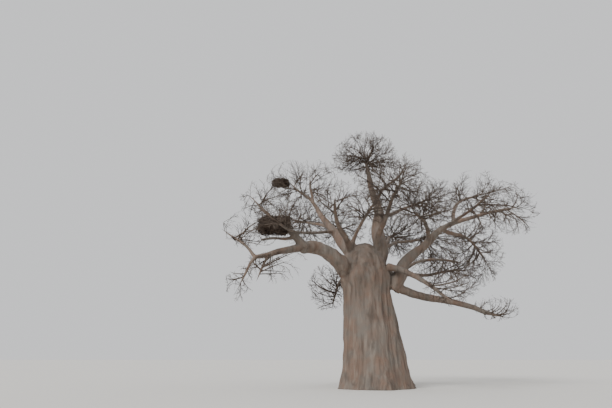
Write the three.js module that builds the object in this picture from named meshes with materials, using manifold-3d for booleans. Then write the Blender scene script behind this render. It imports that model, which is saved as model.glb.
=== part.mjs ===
// A leafless baobab as it stands in the dry season: a barrel trunk, tapering boughs and masses of bare twigs.
// The origin is the middle of the flat cut at ground level, +Z is up, and the tree is seen from the -Y side.
// Sizes are written in metres and headings in degrees; the finished solids are in millimetres.
import * as THREE from "three";
import { mergeVertices } from "three/addons/utils/BufferGeometryUtils.js";
import Module from "manifold-3d";

const wasm = await Module();
wasm.setup();

const millimetres = 1000; // in a metre
const gap = 0.0004; // left between pieces that meet, metres
const boughStep = 1.0; // length of one ring-to-ring stretch of a bough
const goldenAngle = Math.PI * (3 - Math.sqrt(5));

// The rule that every mass of twigs grows by: lengths in metres, places as shares of the line they lie on.
const growth = {
  stemSides: 5,
  twigSides: 3,
  collar: 0.06, // straight start of a stem, square to the end of its bough
  stemShares: [0.22, 0.34, 0.46, 0.57, 0.68, 0.78, 0.87], // where branchlets may spring from a stem
  sideShares: [0.24, 0.38, 0.64, 0.78], // where side twigs spring from a branchlet
  shortest: 0.22,
  clearance: 0.08, // kept between twigs and limbs
  crowding: 0.5, // how far a branchlet goes to avoid a place on the stem that another has used
  edge: 1.02, // depth in its space that a twig may reach
  ownership: 1.12, // how many times deeper a twig lies in its own space than in any other
  nestRoom: 1.15, // depth round a nest that twigs keep out of
  tries: [1, 0.8, 0.6, 0.42], // shares of its length that a twig is cut back to until it is clear
  probes: [0.25, 0.4, 0.55, 0.7, 0.85, 1], // where on a twig that is looked at
  stemLift: 0.3,
  bend: { at: 0.55, onward: 0.13, hang: 0.1 }, // of a branchlet, the last two as shares of its length
  side: { out: 0.85, onward: 0.75, lift: 0.25, longest: 0.85, shrink: 0.5, spread: 0.4 }, // of a side twig
  branchletGirth: 0.75, // root radius as a share of the stem's
  branchletMiddle: 0.85, // radius at the bend as a share of the root's
  sideGirth: 0.33,
};

// The barrel: narrow at the waist, swelling to the foot and to the shoulder that carries the boughs.
const trunk = {
  sides: 22,
  foot: 2.02,
  flare: 0.1,
  flareHeight: 0.45,
  waist: 1.41,
  waistHeight: 5.35,
  shoulder: 1.52,
  shoulderHeight: 6.2,
  top: 7.4,
  taper: 1.25, // how soon the foot thins to the waist
  lean: 0.42, // how far the top stands to the left of the foot
  leanBend: 1.5, // 1 leans evenly, more leans mostly near the top
  depth: 0.96, // front to back as a share of side to side
  fold: 0.035, // depth of the broad vertical folds as a share of the radius
  barrelRings: 9,
  domeRings: 4,
};

// The swelling over the shoulder, from which the leader and the left boughs rise.
const fork = { centre: [-0.35, 0.05, 6.55], half: [1.42, 1.3, 1.9] };

// Each bough leaves a point inside the trunk, or a share of the way along another bough.
// rise is the climb above level and bearing the compass direction, +X at 0 and +Y at 90, from root to tip.
// girth holds the radius at root and tip, and taper says how early the bough thins. The bough itself is the
// bare share of its line, and the rest is the stem of the mass of twigs that it enters.
const boughs = {
  leader: {
    root: [0.35, 0, 7.0], length: 6.65, bare: 1, girth: [0.52, 0.13],
    rise: [72, 84, 80, 76], bearing: [-4, 76, 152, 222],
  },
  left_rise: {
    root: [-0.65, 0.1, 7.2], length: 7.4, bare: 0.86, girth: [0.6, 0.07], taper: 1.8,
    rise: [65, 50, 48, 59, 48, 36], bearing: [161, 155, 144, 137, 145, 159],
  },
  left_sweep: {
    root: [-0.85, -0.2, 6.05], length: 4.3, bare: 1, girth: [0.56, 0.34],
    rise: [40, 40, 15, -14], bearing: [-156, -151, -147, -147],
  },
  right_bough: {
    root: [1.2, -0.1, 5.65], length: 8.5, bare: 0.78, girth: [0.47, 0.09], taper: 1.7,
    rise: [54, 52, 33, 17, 3], bearing: [-16, -17, -14, -12, -12],
  },
  lowest_right: {
    root: [0.86, -0.15, 5.92], length: 6.5, bare: 0.72, girth: [0.28, 0.14],
    rise: [-18, -20, -10, -9, -26], bearing: [-6, 2, 8, 8, 11],
  },
  right_back: {
    root: [1.1, 0.3, 6.6], length: 7.6, bare: 0.75, girth: [0.16, 0.08],
    rise: [2, 8, 16], bearing: [40, 43, 36],
  },
  right_drop: {
    root: [1.0, -0.6, 6.85], length: 4.7, bare: 0.6, girth: [0.2, 0.08],
    rise: [-16, -30, -35], bearing: [-42, -58, -67],
  },
  left_hanger: {
    root: [-0.8, 0.9, 6.9], length: 2.2, bare: 0.5, girth: [0.15, 0.07],
    rise: [0, -45, -88], bearing: [138, 155, 172],
  },
  front_left: {
    root: [-1.1, -0.2, 7.8], length: 4.9, bare: 0.6, girth: [0.22, 0.08], taper: 1.3,
    rise: [40, 24, 14, 9], bearing: [-118, -114, -103, -88],
  },
  front_mid: {
    root: [0.35, -0.1, 7.7], length: 5.4, bare: 0.6, girth: [0.22, 0.08], taper: 1.3,
    rise: [48, 40, 26, 14], bearing: [-82, -78, -79, -81],
  },
  back_left: {
    root: [-1.0, 0.5, 8.0], length: 5.7, bare: 0.67, girth: [0.24, 0.08], taper: 1.3,
    rise: [46, 31, 20], bearing: [110, 93, 87],
  },
  back_mid: {
    root: [0.6, 0.5, 7.5], length: 6.0, bare: 0.6, girth: [0.24, 0.09], taper: 1.3,
    rise: [40, 26, 20], bearing: [66, 70, 68],
  },
  mid_left: {
    root: [-1.15, -0.35, 8.1], length: 2.8, bare: 0.67, girth: [0.13, 0.08],
    rise: [50, 49, 38], bearing: [-64, -57, -43],
  },
  back_right: {
    on: "back_mid", at: 0.2, length: 5.3, bare: 0.8, girth: [0.13, 0.08],
    rise: [32, 12, 22], bearing: [51, 37, 38],
  },
  left_nest_arm: {
    on: "left_sweep", at: 0.97, length: 3.2, bare: 1, girth: [0.24, 0.09],
    rise: [56, 34, 42], bearing: [-160, -166, -170],
  },
  left_low_arm: {
    on: "left_sweep", at: 0.93, length: 3.5, bare: 1, girth: [0.24, 0.11],
    rise: [-6, -15, -26, -8], bearing: [-150, -148, -144, -147],
  },
  left_shelf: {
    on: "left_nest_arm", at: 0.25, length: 2.1, bare: 1, girth: [0.1, 0.07],
    rise: [-21, -3, -15], bearing: [-166, -160, -156],
  },
  left_droop: {
    on: "left_low_arm", at: 0.98, length: 1.3, bare: 0.5, girth: [0.09, 0.06],
    rise: [-52, -65], bearing: [-140, -136],
  },
  left_tip: {
    on: "left_low_arm", at: 0.98, length: 1.8, bare: 0.5, girth: [0.09, 0.07],
    rise: [57, 41, 28], bearing: [160, 156, 154],
  },
  left_spur: {
    on: "left_low_arm", at: 0.66, length: 1.2, bare: 0.5, girth: [0.09, 0.06],
    rise: [-47, -66], bearing: [-156, -148],
  },
  left_fore: {
    on: "left_rise", at: 0.37, length: 6.0, bare: 0.83, girth: [0.11, 0.07],
    rise: [-10, -16, -8, 8], bearing: [-128, -127, -121, -114],
  },
  left_rise_top: {
    on: "left_rise", at: 0.76, length: 1.5, bare: 0.4, girth: [0.1, 0.08],
    rise: [78, 76], bearing: [140, 106],
  },
  left_back: {
    on: "left_rise", at: 0.42, length: 4.1, bare: 0.5, girth: [0.12, 0.07],
    rise: [24, 19, 16], bearing: [127, 123, 117],
  },
  leader_right: {
    on: "leader", at: 0.48, length: 5.3, bare: 0.6, girth: [0.14, 0.07],
    rise: [27, 23, 27], bearing: [33, 41, 38],
  },
  leader_high: {
    on: "leader", at: 0.66, length: 2.3, bare: 0.4, girth: [0.09, 0.07],
    rise: [56, 24, 20], bearing: [-60, -52, -50],
  },
  right_front: {
    on: "right_bough", at: 0.44, length: 3.2, bare: 0.6, girth: [0.14, 0.08],
    rise: [36, 14, -1], bearing: [-100, -116, -126],
  },
  right_crest: {
    on: "right_bough", at: 0.66, length: 3.8, bare: 0.55, girth: [0.12, 0.07],
    rise: [67, 36, 16], bearing: [80, 38, 9],
  },
  right_fore: {
    on: "right_bough", at: 0.6, length: 3.3, bare: 0.5, girth: [0.11, 0.07],
    rise: [4, 6, 10], bearing: [-70, -76, -78],
  },
  right_weeper: {
    on: "right_bough", at: 0.56, length: 3.9, bare: 0.6, girth: [0.13, 0.07],
    rise: [-8, 2, -24, -58], bearing: [37, 34, 30, 26],
  },
  right_arch: {
    on: "right_back", at: 0.12, length: 5.3, bare: 0.5, girth: [0.12, 0.07],
    rise: [39, 12, -7], bearing: [16, 29, 27],
  },
};

// Each mass of twigs keeps to an ellipsoid, cut off below floor and above ceiling where those are given, as
// shares of its half height. Its stem goes further than its bough's line, and carries branchlets whose ends
// turn up where lift is above 0 and hang where it is below.
const masses = {
  crown_top: {
    on: "leader", centre: [0.05, 0.5, 14.0], half: [2.35, 2.1, 2.4], floor: -0.14,
    further: 1.6, branchlets: 9, lift: 0.5, seed: 12,
  },
  upper_right: {
    on: "leader_high", centre: [1.75, -1.25, 12.4], half: [2.1, 1.9, 1.65],
    further: 0.9, branchlets: 6, lift: 0.4, seed: 13,
  },
  right_shoulder: {
    on: "leader_right", centre: [4.95, 3.25, 12.35], half: [2.5, 2.1, 1.8],
    further: 0.9, branchlets: 6, lift: 0.5, seed: 13,
  },
  left_crown: {
    on: "left_rise", centre: [-4.55, 2.5, 13.25], half: [2.35, 2.05, 1.9],
    further: 1.4, branchlets: 6, lift: 0.5, seed: 14,
  },
  left_summit: {
    on: "left_rise_top", centre: [-3.15, 2.45, 13.4], half: [1.85, 1.65, 1.75],
    further: 0.8, branchlets: 6, lift: 0.5, seed: 15,
  },
  left_behind: {
    on: "left_back", centre: [-4.2, 4.4, 11.25], half: [2.3, 2.0, 2.0],
    further: 0.8, branchlets: 4, lift: 0.4, seed: 16,
  },
  left_fan: {
    on: "left_nest_arm", centre: [-6.5, -2.5, 10.35], half: [1.5, 1.4, 1.4],
    further: 1.3, branchlets: 5, lift: 0.5, seed: 17,
  },
  left_end: {
    on: "left_tip", centre: [-7.05, -3.1, 8.45], half: [1.7, 1.2, 1.2],
    further: 1.2, branchlets: 5, lift: 0.2, seed: 18,
  },
  left_weeping: {
    on: "left_droop", centre: [-7.4, -4.2, 5.35], half: [0.8, 0.75, 1.05],
    further: 0.6, branchlets: 4, lift: -0.5, seed: 19,
  },
  left_curtain: {
    on: "left_spur", centre: [-5.6, -3.15, 6.55], half: [1.85, 0.8, 1.1], ceiling: 0.65,
    further: 0.7, branchlets: 5, lift: -1.2, seed: 20,
  },
  left_front: {
    on: "left_fore", centre: [-5.26, -4.66, 9.08], half: [1.65, 1.42, 1.12],
    further: 0.6, branchlets: 5, lift: 0.3, seed: 21,
  },
  hanging_left: {
    on: "left_hanger", centre: [-2.55, 1.6, 5.95], half: [1.35, 1.1, 1.6],
    further: 1.1, branchlets: 5, lift: -0.3, seed: 22,
  },
  front_leftward: {
    on: "front_left", centre: [-2.26, -4.63, 9.8], half: [1.8, 1.6, 1.2],
    further: 0.7, branchlets: 5, lift: 0.4, seed: 23,
  },
  front_middle: {
    on: "front_mid", centre: [0.6, -4.85, 10.55], half: [2.2, 1.9, 1.55],
    further: 0.8, branchlets: 6, lift: 0.4, seed: 24,
  },
  back_leftward: {
    on: "back_left", centre: [-1.45, 5.27, 10.86], half: [2.3, 2.0, 1.6],
    further: 0.8, branchlets: 5, lift: 0.4, seed: 25,
  },
  back_middle: {
    on: "back_mid", centre: [3.05, 5.6, 10.45], half: [2.5, 2.0, 1.85],
    further: 0.8, branchlets: 4, lift: 0.4, seed: 26,
  },
  back_rightward: {
    on: "back_right", centre: [5.6, 5.2, 9.45], half: [2.35, 1.95, 1.8],
    further: 0.7, branchlets: 4, lift: 0.3, seed: 27,
  },
  middle_left: {
    on: "mid_left", centre: [-0.05, -2.3, 10.0], half: [2.0, 1.3, 1.5], floor: -0.45,
    further: 0.5, branchlets: 4, lift: 0.4, seed: 28,
  },
  right_end: {
    on: "right_bough", centre: [8.35, -1.65, 10.15], half: [1.95, 1.6, 1.75],
    further: 1.2, branchlets: 6, lift: 0.3, seed: 29,
  },
  right_summit: {
    on: "right_crest", centre: [7.4, 0.5, 11.9], half: [2.35, 1.75, 1.6],
    further: 0.8, branchlets: 6, lift: 0.5, seed: 30,
  },
  right_front_end: {
    on: "right_fore", centre: [5.7, -4.75, 9.35], half: [1.8, 1.6, 1.55],
    further: 0.6, branchlets: 4, lift: 0.4, seed: 31,
  },
  right_forward: {
    on: "right_front", centre: [2.7, -3.6, 9.6], half: [2.3, 1.65, 1.65],
    further: 0.7, branchlets: 4, lift: 0.4, seed: 32,
  },
  right_weeping: {
    on: "right_weeper", centre: [6.85, 1.1, 8.15], half: [2.05, 1.6, 2.35],
    further: 0.7, branchlets: 6, lift: -0.6, seed: 33,
  },
  right_behind: {
    on: "right_back", centre: [7.1, 4.6, 7.7], half: [1.75, 1.5, 1.5],
    further: 0.6, branchlets: 4, lift: -0.1, seed: 34,
  },
  right_inner: {
    on: "right_arch", centre: [4.88, 3.0, 7.44], half: [1.95, 1.5, 1.35],
    further: 0.6, branchlets: 4, lift: -0.2, seed: 37,
  },
  low_curtain: {
    on: "right_drop", centre: [3.8, -3.85, 5.2], half: [1.65, 1.4, 1.05],
    further: 0.6, branchlets: 5, lift: 0.3, seed: 35,
  },
  low_end: {
    on: "lowest_right", centre: [7.75, 0.6, 4.55], half: [1.5, 0.8, 0.85],
    further: 1.2, branchlets: 4, lift: 0.5, seed: 36,
  },
};

// Big untidy stick nests that birds have built round the boughs.
const nests = {
  stick_nest_large: { centre: [-5.74, -2.45, 8.92], half: [0.92, 0.66, 0.44], sticks: 9, seed: 51 },
  stick_nest_small: { centre: [-5.7, 2.75, 13.49], half: [0.57, 0.46, 0.23], sticks: 6, seed: 52 },
};
const heap = { squareness: 0.6, lump: 0.07 }; // below 1 the heap is blockier than an ellipsoid
const stick = { radius: 0.035, inner: 0.5, outer: 1.3 }; // ends as shares of the nest's half size

const bark = new THREE.MeshStandardMaterial({ color: 0x7d6c62, roughness: 0.85, metalness: 0 });
const twigBark = new THREE.MeshStandardMaterial({ color: 0x5f5048, roughness: 0.9, metalness: 0 });
const dryStick = new THREE.MeshStandardMaterial({ color: 0x4a3d33, roughness: 0.95, metalness: 0 });

const vector = (list) => new THREE.Vector3(...list);
const smooth = (t) => {
  const x = Math.min(Math.max(t, 0), 1);
  return x * x * (3 - 2 * x);
};

// The same run of numbers between 0 and 1 for the same seed.
function seededRandom(seed) {
  let state = seed * 7919;
  return () => {
    state = (state * 16807) % 2147483647;
    return state / 2147483647;
  };
}

// The value of an evenly spaced list of stations at share t of the way along it.
function blend(stations, t) {
  const x = t * (stations.length - 1);
  const i = Math.min(Math.floor(x), stations.length - 2);
  return stations[i] + (stations[i + 1] - stations[i]) * (x - i);
}

// The unit vector that climbs by rise and points along bearing.
function heading(rise, bearing) {
  const [up, round] = [rise, bearing].map(THREE.MathUtils.degToRad);
  return new THREE.Vector3(Math.cos(up) * Math.cos(round), Math.cos(up) * Math.sin(round), Math.sin(up));
}

// A closed three.js geometry in metres as a solid in millimetres.
function solidOf(geometry) {
  geometry.deleteAttribute("normal");
  geometry.deleteAttribute("uv");
  geometry.scale(millimetres, millimetres, millimetres);
  const merged = mergeVertices(geometry, 1e-3);
  return new wasm.Manifold(
    new wasm.Mesh({
      numProp: 3,
      vertProperties: merged.getAttribute("position").array,
      triVerts: new Uint32Array(merged.index.array),
    }),
  );
}

// The largest body of a solid: loose scraps are dropped and sealed hollows filled.
function mainBody(solid) {
  return solid.decompose().reduce((a, b) => (b.volume() > a.volume() ? b : a));
}

function meshOf(name, solid, material) {
  const { vertProperties, triVerts } = solid.getMesh();
  const geometry = new THREE.BufferGeometry();
  geometry.setAttribute("position", new THREE.BufferAttribute(vertProperties, 3));
  geometry.setIndex(new THREE.BufferAttribute(triVerts, 1));
  geometry.computeVertexNormals();
  const mesh = new THREE.Mesh(geometry, material);
  mesh.name = name;
  return mesh;
}

// A closed tube through points with a radius at each; a last radius of 0 gives it a pointed end.
function tube(points, radii, sides) {
  const steps = points.length - 1;
  const geometry = new THREE.CylinderGeometry(radii[steps] > 0 ? 1 : 0, 1, 1, sides, steps);
  const tangents = points.map((p, i) =>
    points[Math.min(i + 1, steps)].clone().sub(points[Math.max(i - 1, 0)]).normalize(),
  );
  const across = [new THREE.Vector3(0.31, 0.87, 0.39).cross(tangents[0]).normalize()];
  for (let i = 1; i <= steps; i++) {
    const along = across[i - 1].dot(tangents[i]);
    across.push(across[i - 1].clone().addScaledVector(tangents[i], -along).normalize());
  }
  const position = geometry.getAttribute("position");
  for (let v = 0; v < position.count; v++) {
    const i = Math.round((position.getY(v) + 0.5) * steps);
    const third = across[i].clone().cross(tangents[i]);
    const moved = points[i]
      .clone()
      .addScaledVector(across[i], position.getX(v) * (radii[i] || 0))
      .addScaledVector(third, position.getZ(v) * (radii[i] || 0));
    position.setXYZ(v, moved.x, moved.y, moved.z);
  }
  return solidOf(geometry);
}

// Radius of the barrel at a height, before its folds.
function trunkRadius(height) {
  const { foot, flare, flareHeight, waist, waistHeight, shoulder, shoulderHeight, taper } = trunk;
  const barrel = (foot - waist) * Math.max(1 - height / waistHeight, 0) ** taper;
  const swell = (shoulder - waist) * smooth((height - waistHeight) / (shoulderHeight - waistHeight));
  return waist + barrel + swell + flare * Math.exp(-height / flareHeight);
}

// Where the middle of the trunk stands at a height, left of its foot.
function trunkMiddle(height) {
  return -trunk.lean * (height / trunk.top) ** trunk.leanBend;
}

// The trunk with its lean, folds and flared foot, swollen all over by extra.
function trunkSolid(extra) {
  const { sides, shoulder, shoulderHeight, top, depth, fold, barrelRings, domeRings } = trunk;
  const profile = [new THREE.Vector2(0, 0)];
  for (let i = 0; i <= barrelRings; i++) {
    const height = shoulderHeight * (i / barrelRings) ** 1.3;
    profile.push(new THREE.Vector2(trunkRadius(height) + extra, height));
  }
  for (let i = 1; i <= domeRings; i++) {
    const turn = (i / domeRings) * (Math.PI / 2);
    const across = i < domeRings ? (shoulder + extra) * Math.cos(turn) : 0;
    profile.push(new THREE.Vector2(across, shoulderHeight + (top - shoulderHeight + extra) * Math.sin(turn)));
  }
  const barrel = new THREE.LatheGeometry(profile, sides);
  const position = barrel.getAttribute("position");
  for (let v = 0; v < position.count; v++) {
    const [x, height, y] = [position.getX(v), position.getY(v), -position.getZ(v)];
    const turn = Math.atan2(y, x);
    const broad = Math.cos(5 * turn + 0.6 + 0.12 * height) + 0.5 * Math.cos(3 * turn);
    const narrow = 0.6 * Math.cos(9 * turn - 0.2 * height);
    const swell = 1 + fold * (broad + narrow) * (0.7 + 0.9 * Math.exp(-height / 0.8));
    position.setXYZ(v, x * swell + trunkMiddle(height), y * swell * depth, height);
  }
  const lump = new THREE.SphereGeometry(1, 14, 8);
  lump.rotateX(Math.PI / 2);
  lump.scale(...fork.half.map((h) => h + extra));
  lump.translate(...fork.centre);
  return solidOf(barrel).add(solidOf(lump));
}

// The line of a bough's middle, found by walking along its headings.
function boughLine(name) {
  const bough = boughs[name];
  const count = Math.max(3, Math.round(bough.length / boughStep));
  const parent = lines[bough.on];
  const start = parent ? placeOn(parent.all, parent.allRadii, bough.at).point : vector(bough.root);
  const points = [start];
  for (let i = 0; i < count; i++) {
    const t = (i + 0.5) / count;
    const step = heading(blend(bough.rise, t), blend(bough.bearing, t)).multiplyScalar(bough.length / count);
    points.push(points[i].clone().add(step));
  }
  const [root, tip] = bough.girth;
  const radii = points.map((p, i) => tip + (root - tip) * (1 - i / count) ** (bough.taper || 1));
  const split = Math.min(Math.max(Math.round(count * bough.bare), 1), count);
  return {
    all: points,
    allRadii: radii,
    points: points.slice(0, split + 1),
    radii: radii.slice(0, split + 1),
    rest: points.slice(split),
    restRadii: radii.slice(split),
  };
}

// What lies a share of the way along a line: its point, its heading and its value blended from the list.
function placeOn(line, values, share) {
  const steps = line.slice(1).map((p, i) => p.distanceTo(line[i]));
  let left = share * steps.reduce((sum, step) => sum + step, 0);
  let i = 0;
  while (i < steps.length - 1 && left > steps[i]) {
    left -= steps[i];
    i += 1;
  }
  const t = left / steps[i];
  return {
    point: line[i].clone().lerp(line[i + 1], t),
    heading: line[i + 1].clone().sub(line[i]).normalize(),
    radius: values[i] + (values[i + 1] - values[i]) * t,
  };
}

// A bough as a solid swollen by extra, at its two ends too.
function boughSolid(name, extra) {
  const { points, radii } = lines[name];
  const sides = radii[0] > 0.3 ? 8 : 6;
  const longer = points.map((p) => p.clone());
  longer[0].addScaledVector(points[1].clone().sub(points[0]).normalize(), -extra);
  longer.at(-1).addScaledVector(points.at(-1).clone().sub(points.at(-2)).normalize(), extra);
  return tube(longer, radii.map((r) => r + extra), sides);
}

// True where a point lies within reach of a bough's or the trunk's surface.
function nearLimb(point, reach) {
  const across = Math.hypot(point.x - trunkMiddle(point.z), point.y);
  if (point.z < trunk.top + 0.3 && across < trunkRadius(point.z) * 1.1 + reach) {
    return true;
  }
  return Object.values(lines).some(({ points, radii }) =>
    points.slice(1).some((end, i) => {
      const line = new THREE.Line3(points[i], end);
      const t = line.closestPointToPointParameter(point, true);
      const radius = radii[i] + (radii[i + 1] - radii[i]) * t;
      return line.at(t, new THREE.Vector3()).distanceTo(point) < radius + reach;
    }),
  );
}

// How far out a point lies in a mass's space: 1 is the edge.
function depthIn(mass, point) {
  const offset = point.clone().sub(vector(mass.centre)).divide(vector(mass.half));
  const outside = offset.z < (mass.floor ?? -2) || offset.z > (mass.ceiling ?? 2);
  return outside ? 9 : offset.length();
}

// True where a point lies in a mass's own part of the tree's head, clear of other masses and of nests.
function inOwnSpace(name, point) {
  const depth = depthIn(masses[name], point);
  const rivals = Object.keys(masses).filter((other) => other !== name);
  const inNest = Object.values(nests).some((nest) => depthIn(nest, point) < growth.nestRoom);
  const deepest = rivals.every((other) => depthIn(masses[other], point) > depth * growth.ownership);
  return depth < growth.edge && !inNest && deepest;
}

// The line of a mass's stem and its radii: the rest of the bough's line, then on through the space.
function stemLine(mass) {
  const { points, rest, restRadii } = lines[mass.on];
  const forward = rest[0].clone().sub(points.at(-2)).normalize();
  const root = rest[0].clone().addScaledVector(forward, gap);
  const before = rest.length > 1 ? rest.at(-2) : points.at(-2);
  const onward = rest.at(-1).clone().sub(before).normalize();
  onward.z += growth.stemLift * mass.lift;
  const beyond = rest.at(-1).clone().addScaledVector(onward.normalize(), mass.further);
  return {
    line: [root, root.clone().addScaledVector(forward, growth.collar), ...rest.slice(1), beyond],
    thickness: [restRadii[0], restRadii[0], ...restRadii.slice(1), 0],
  };
}

// The point on the edge of a mass's space that branchlet i of count makes for, spread evenly all round.
function edgePoint(mass, i, count, random) {
  const height = 1 - (2 * i + 1) / count;
  const turn = i * goldenAngle + random();
  const flat = Math.sqrt(1 - height * height);
  const p = new THREE.Vector3(flat * Math.cos(turn), flat * Math.sin(turn), height);
  p.multiplyScalar(0.9 + 0.08 * random());
  p.z = Math.min(Math.max(p.z, (mass.floor ?? -1) + 0.05), (mass.ceiling ?? 1) - 0.05);
  return p.multiply(vector(mass.half)).add(vector(mass.centre));
}

// The place on the stem where a branchlet to an end springs best: close by, turning little from the
// stem's heading, and not much used yet.
function bestPlace(places, end) {
  let best = null;
  let least = Infinity;
  for (const place of places) {
    const away = end.clone().sub(place.point);
    const length = away.length();
    const turn = away.dot(place.heading) / length;
    const cost = length * (1.5 - 0.6 * turn) + growth.crowding * place.used;
    if (cost < least) {
      best = place;
      least = cost;
    }
  }
  return best;
}

// A line from a root to an end, bent towards a heading and lifted or hung; it is shortened until it
// lies in the mass's own space and clear of limbs, and is left out where it can't.
function clearLine(name, root, heading, end, bends) {
  const { tries, probes, bend, clearance, shortest } = growth;
  for (const share of tries) {
    const to = root.clone().lerp(end, share);
    const length = root.distanceTo(to);
    const middle = root.clone().lerp(to, bend.at).addScaledVector(heading, bend.onward * length);
    middle.z -= bend.hang * length * masses[name].lift;
    const line = bends ? [root, middle, to] : [root, to];
    const inside = probes.every((probe) => {
      const { point } = placeOn(line, [0, 0, 0], probe);
      return inOwnSpace(name, point) && !nearLimb(point, clearance);
    });
    if (inside && length > shortest) {
      return line;
    }
  }
  return null;
}

// The side twigs of a branchlet, to alternate sides, shorter towards its end.
function sideTwigs(name, line, radii, random) {
  const { side, sideShares, sideGirth } = growth;
  const length = line[0].distanceTo(line.at(-1));
  const twigs = [];
  sideShares.forEach((share, i) => {
    const { point, heading, radius } = placeOn(line, radii, share);
    const any = new THREE.Vector3(random() - 0.5, random() - 0.5, random() - 0.5);
    const out = heading.clone().cross(any).normalize().multiplyScalar(i % 2 ? side.out : -side.out);
    const onward = heading.clone().multiplyScalar(side.onward).add(out);
    onward.z += side.lift * masses[name].lift;
    const vary = 1 + side.spread * (random() - 0.5);
    const reach = length * (side.longest - side.shrink * share) * vary;
    const end = point.clone().addScaledVector(onward.normalize(), reach);
    const twig = clearLine(name, point, heading, end, false);
    if (twig) {
      twigs.push({ line: twig, radii: [radius * sideGirth, 0] });
    }
  });
  return twigs;
}

// The seeded rule: a stem runs on from its bough, branchlets spring from it evenly all round, and each
// carries side twigs.
function growTwigs(name) {
  const mass = masses[name];
  const { stemSides, twigSides, stemShares, branchletGirth, branchletMiddle } = growth;
  const random = seededRandom(mass.seed);
  const stem = stemLine(mass);
  const places = stemShares.map((share) => ({ ...placeOn(stem.line, stem.thickness, share), used: 0 }));
  const twigs = [tube(stem.line, stem.thickness, stemSides)];
  for (let i = 0; i < mass.branchlets; i++) {
    const end = edgePoint(mass, i, mass.branchlets, random);
    const place = bestPlace(places, end);
    const line = clearLine(name, place.point, place.heading, end, true);
    if (!line) {
      continue;
    }
    place.used += 1;
    const root = place.radius * branchletGirth;
    const radii = [root, root * branchletMiddle, 0];
    twigs.push(tube(line, radii, twigSides));
    for (const twig of sideTwigs(name, line, radii, random)) {
      twigs.push(tube(twig.line, twig.radii, twigSides));
    }
  }
  return mainBody(twigs.reduce((whole, twig) => whole.add(twig)));
}

// A nest: a lumpy heap with the ends of its sticks standing out.
function nestSolid(name) {
  const nest = nests[name];
  const random = seededRandom(nest.seed);
  const centre = vector(nest.centre);
  const half = vector(nest.half);
  const ball = new THREE.SphereGeometry(1, 9, 6);
  ball.rotateX(Math.PI / 2);
  const position = ball.getAttribute("position");
  for (let v = 0; v < position.count; v++) {
    const p = new THREE.Vector3().fromBufferAttribute(position, v);
    const waves = Math.cos(4 * p.x + 3 * p.y) + Math.cos(5 * p.z - 3 * p.x);
    const squared = [p.x, p.y, p.z].map((c) => Math.sign(c) * Math.abs(c) ** heap.squareness);
    p.set(...squared).multiplyScalar(1 - heap.lump * (2 - waves)).multiply(half).add(centre);
    position.setXYZ(v, p.x, p.y, p.z);
  }
  let whole = solidOf(ball);
  for (let i = 0; i < nest.sticks; i++) {
    const out = new THREE.Vector3(random() * 2 - 1, random() * 2 - 1, random() * 2 - 1).normalize();
    const from = out.clone().multiply(half).multiplyScalar(stick.inner).add(centre);
    const to = out.clone().multiply(half).multiplyScalar(stick.outer).add(centre);
    whole = whole.add(tube([from, to], [stick.radius, 0], growth.twigSides));
  }
  return whole;
}

// True where the boxes round two solids meet.
function boxesMeet(a, b) {
  const [one, two] = [a.boundingBox(), b.boundingBox()];
  return [0, 1, 2].every((k) => one.min[k] <= two.max[k] && two.min[k] <= one.max[k]);
}

const lines = {};
for (const name of Object.keys(boughs)) {
  lines[name] = boughLine(name);
}

const tree = new THREE.Group();
tree.add(meshOf("trunk", trunkSolid(0), bark));

// Each bough is cut clear of the trunk and of the boughs before it.
const swollen = [trunkSolid(gap)];
for (const name of Object.keys(boughs)) {
  let solid = boughSolid(name, 0);
  for (const other of swollen) {
    if (boxesMeet(solid, other)) {
      solid = mainBody(solid.subtract(other));
    }
  }
  tree.add(meshOf(name, solid, bark));
  swollen.push(boughSolid(name, gap));
}

// Each nest is cut clear of the boughs and stems that carry it.
const swollenStems = Object.values(masses).map((mass) => {
  const { line, thickness } = stemLine(mass);
  return tube(line, thickness.map((r) => r && r + gap), growth.stemSides);
});

for (const name of Object.keys(nests)) {
  let solid = nestSolid(name);
  for (const other of [...swollen, ...swollenStems]) {
    if (boxesMeet(solid, other)) {
      solid = mainBody(solid.subtract(other));
    }
  }
  tree.add(meshOf(name, solid, dryStick));
}

for (const name of Object.keys(masses)) {
  tree.add(meshOf(name, growTwigs(name), twigBark));
}

export default tree;
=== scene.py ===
import math

import bpy
import numpy as np
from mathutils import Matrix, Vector, noise


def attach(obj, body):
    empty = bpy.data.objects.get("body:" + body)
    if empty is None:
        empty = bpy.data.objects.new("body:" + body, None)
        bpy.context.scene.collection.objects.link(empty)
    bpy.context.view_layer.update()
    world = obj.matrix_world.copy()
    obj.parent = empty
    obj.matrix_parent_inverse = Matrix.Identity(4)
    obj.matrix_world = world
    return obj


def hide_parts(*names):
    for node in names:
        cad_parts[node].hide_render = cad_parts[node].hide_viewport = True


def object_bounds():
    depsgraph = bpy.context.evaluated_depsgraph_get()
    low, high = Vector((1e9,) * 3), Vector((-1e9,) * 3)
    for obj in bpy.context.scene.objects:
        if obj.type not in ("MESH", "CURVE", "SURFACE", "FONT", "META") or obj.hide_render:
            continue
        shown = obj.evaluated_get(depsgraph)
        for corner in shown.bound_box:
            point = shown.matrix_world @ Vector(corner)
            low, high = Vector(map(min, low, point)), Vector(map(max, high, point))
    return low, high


# A leafless baobab in the dry season: creased grey-brown trunk and boughs, masses of bare twigs, stick nests.
# +Z up, seen from the -Y side. Lengths are metres and angles degrees, unless a note says otherwise.
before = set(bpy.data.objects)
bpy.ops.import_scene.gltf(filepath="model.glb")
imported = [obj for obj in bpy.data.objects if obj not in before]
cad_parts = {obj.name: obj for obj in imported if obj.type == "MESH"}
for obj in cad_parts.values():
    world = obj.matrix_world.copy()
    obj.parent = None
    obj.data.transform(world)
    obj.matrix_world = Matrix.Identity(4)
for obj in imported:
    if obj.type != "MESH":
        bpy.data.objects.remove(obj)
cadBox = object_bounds()
print("frame loaded")


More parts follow.
